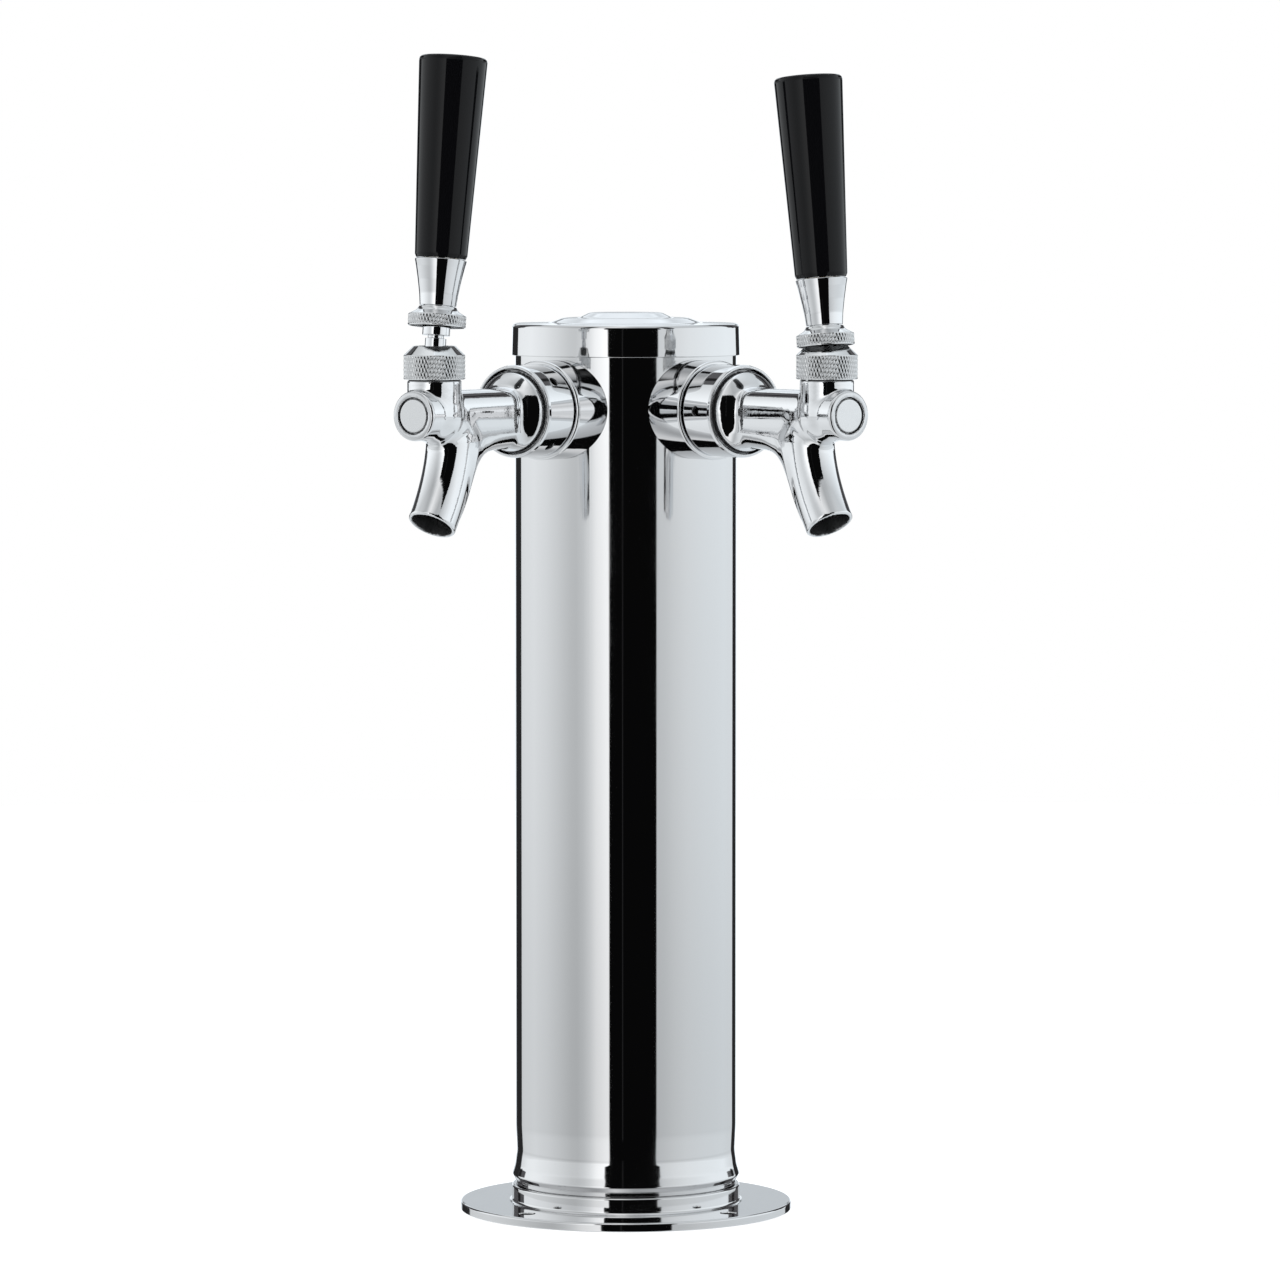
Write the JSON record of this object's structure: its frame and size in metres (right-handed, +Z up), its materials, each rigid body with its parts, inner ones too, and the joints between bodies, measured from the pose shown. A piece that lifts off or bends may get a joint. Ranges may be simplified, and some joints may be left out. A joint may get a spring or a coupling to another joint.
{
  "type": "beer tap tower",
  "caption": "Counter-mounted beer tap tower: a round steel column on a bolt-down flange, with a lift-off cap and lever faucets with tapered black handles.",
  "frame": {"origin": "on the counter surface, in the middle of the whole footprint; the column stands 22.7 mm behind it", "axes": "+Z up along the column; -Y is the front, where the faucets point; -X is the left faucet seen from the front"},
  "size_m": [0.1562, 0.1592, 0.3964],
  "materials": {
    "tube_steel": "polished stainless steel, faint vertical wipe marks",
    "flange_steel": "polished stainless steel, turned",
    "cap_steel": "polished stainless steel, turned",
    "collar_steel": "polished",
    "faucet_chrome": "chrome plated casting",
    "fitting_chrome": "chrome plated, turned",
    "knurl_chrome": "chrome plated, diamond knurl",
    "ferrule_chrome": "chrome plated, turned",
    "fitting_brass": "machined",
    "handle_black": "glossy moulded plastic",
    "seal_rubber": "matt",
    "gasket_rubber": "matt",
    "sleeve_foam": "closed-cell foam",
    "washer_nylon": "matt"
  },
  "bodies": {
    "tower": {"column_tube": "tube_steel", "base_flange": "flange_steel", "base_gasket": "gasket_rubber", "insulation_sleeve": "sleeve_foam", "shank_left": "fitting_chrome", "shank_collar_left": "collar_steel", "inner_washer_left": "fitting_chrome", "shank_locknut_left": "fitting_brass", "tail_elbow_left": "fitting_chrome", "coupling_nut_left": "fitting_chrome", "coupling_washer_left": "seal_rubber", "faucet_body_left": "faucet_chrome", "nose_plug_left": "faucet_chrome", "ball_washer_left": "washer_nylon", "friction_washer_left": "washer_nylon", "bonnet_left": "knurl_chrome", "shank_right": "fitting_chrome", "shank_collar_right": "collar_steel", "inner_washer_right": "fitting_chrome", "shank_locknut_right": "fitting_brass", "tail_elbow_right": "fitting_chrome", "coupling_nut_right": "fitting_chrome", "coupling_washer_right": "seal_rubber", "faucet_body_right": "faucet_chrome", "nose_plug_right": "faucet_chrome", "ball_washer_right": "washer_nylon", "friction_washer_right": "washer_nylon", "bonnet_right": "knurl_chrome"},
    "cap": {"top_cap": "cap_steel"},
    "lever_left": {"lever_left": "fitting_chrome", "lever_collar_left": "knurl_chrome", "handle_ferrule_left": "ferrule_chrome", "handle_grip_left": "handle_black", "handle_insert_left": "fitting_brass"},
    "shaft_left": {"valve_shaft_left": "fitting_chrome", "seat_washer_left": "seal_rubber", "seat_nut_left": "fitting_brass"},
    "lever_right": {"lever_right": "fitting_chrome", "lever_collar_right": "knurl_chrome", "handle_ferrule_right": "ferrule_chrome", "handle_grip_right": "handle_black", "handle_insert_right": "fitting_brass"},
    "shaft_right": {"valve_shaft_right": "fitting_chrome", "seat_washer_right": "seal_rubber", "seat_nut_right": "fitting_brass"}
  },
  "joints": [
    {"name": "cap_lift", "type": "slide", "parent": "tower", "child": "cap", "axis": [0, 0, 1], "range_m": [0, 0.045]},
    {"name": "lever_left_tilt", "type": "hinge", "parent": "tower", "child": "lever_left", "pos_m": [-0.06492, -0.06535, 0.2946], "axis": [0.8049, -0.5934, 0], "range_deg": [0, 28]},
    {"name": "shaft_left_travel", "type": "slide", "parent": "tower", "child": "shaft_left", "axis": [0.5934, 0.8049, 0], "range_m": [0, 0.0085]},
    {"name": "lever_right_tilt", "type": "hinge", "parent": "tower", "child": "lever_right", "pos_m": [0.06492, -0.06535, 0.2946], "axis": [0.8049, 0.5934, 0], "range_deg": [0, 28]},
    {"name": "shaft_right_travel", "type": "slide", "parent": "tower", "child": "shaft_right", "axis": [-0.5934, 0.8049, 0], "range_m": [0, 0.0085]}
  ],
  "couplings": [
    {"joint": "shaft_left_travel", "follows": "lever_left_tilt", "m_per_rad": 0.01717},
    {"joint": "shaft_right_travel", "follows": "lever_right_tilt", "m_per_rad": 0.01717}
  ]
}
